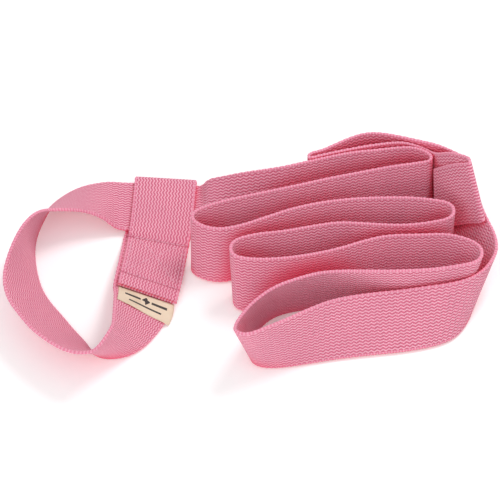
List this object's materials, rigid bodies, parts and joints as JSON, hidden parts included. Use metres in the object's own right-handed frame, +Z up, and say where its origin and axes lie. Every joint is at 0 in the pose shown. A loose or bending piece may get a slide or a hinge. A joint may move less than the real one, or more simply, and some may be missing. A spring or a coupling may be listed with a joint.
{
  "type": "stretching strap",
  "caption": "Flat woven exercise strap standing on edge in zigzag folds, with a sewn sleeve at one end that the strap runs through to make an adjustable noose.",
  "frame": {"origin": "centre of the layout's bounding box, on the floor plane it stands on", "axes": "+X along the folded runs away from the noose, +Y to the back, +Z up"},
  "size_m": [0.3005, 0.1716, 0.0534],
  "materials": {
    "webbing": "matte woven herringbone",
    "thread": "matte thread",
    "label_tape": "smooth woven tape",
    "label_print": "matte woven mark"
  },
  "bodies": {
    "strap": {"noose_left_rear": "webbing", "noose_far_band": "webbing", "strap_in_slot": "webbing", "run_a": "webbing", "fold_r1": "webbing", "run_b": "webbing", "fold_l1": "webbing", "run_c": "webbing", "fold_r2": "webbing", "run_d": "webbing", "fold_l2": "webbing", "run_e": "webbing", "fold_r3": "webbing", "run_e2": "webbing", "fold_l3_rear": "webbing", "fold_l3_front": "webbing", "run_f": "webbing", "fold_r4": "webbing", "wrap_right": "webbing", "wrap_corner": "webbing", "run_g": "webbing", "fold_l5": "webbing", "back_leg": "webbing", "rising_leg": "webbing", "fold_r5": "webbing", "end_run": "webbing"},
    "sleeve": {"sleeve_top_layer": "webbing", "sleeve_fold": "webbing", "sleeve_under_layer": "webbing", "sleeve_under_hem": "webbing", "noose_near_bend": "webbing", "noose_front_arc": "webbing", "noose_left_front": "webbing", "label_tuck": "label_tape", "hem_stitch": "thread", "sleeve_box_stitch": "thread", "sleeve_bar_stitch": "thread"},
    "label": {"label": "label_tape", "label_mark": "label_print"}
  },
  "joints": [
    {"name": "sleeve_slide", "type": "slide", "parent": "strap", "child": "sleeve", "axis": [0.9983, -0.0591, 0], "range_m": [-0.003, 0.001]},
    {"name": "label_flap", "type": "hinge", "parent": "sleeve", "child": "label", "pos_m": [-0.04627, -0.0255, 0.00273], "axis": [-0.9372, 0.1486, 0.3157], "range_deg": [0, 75]}
  ]
}
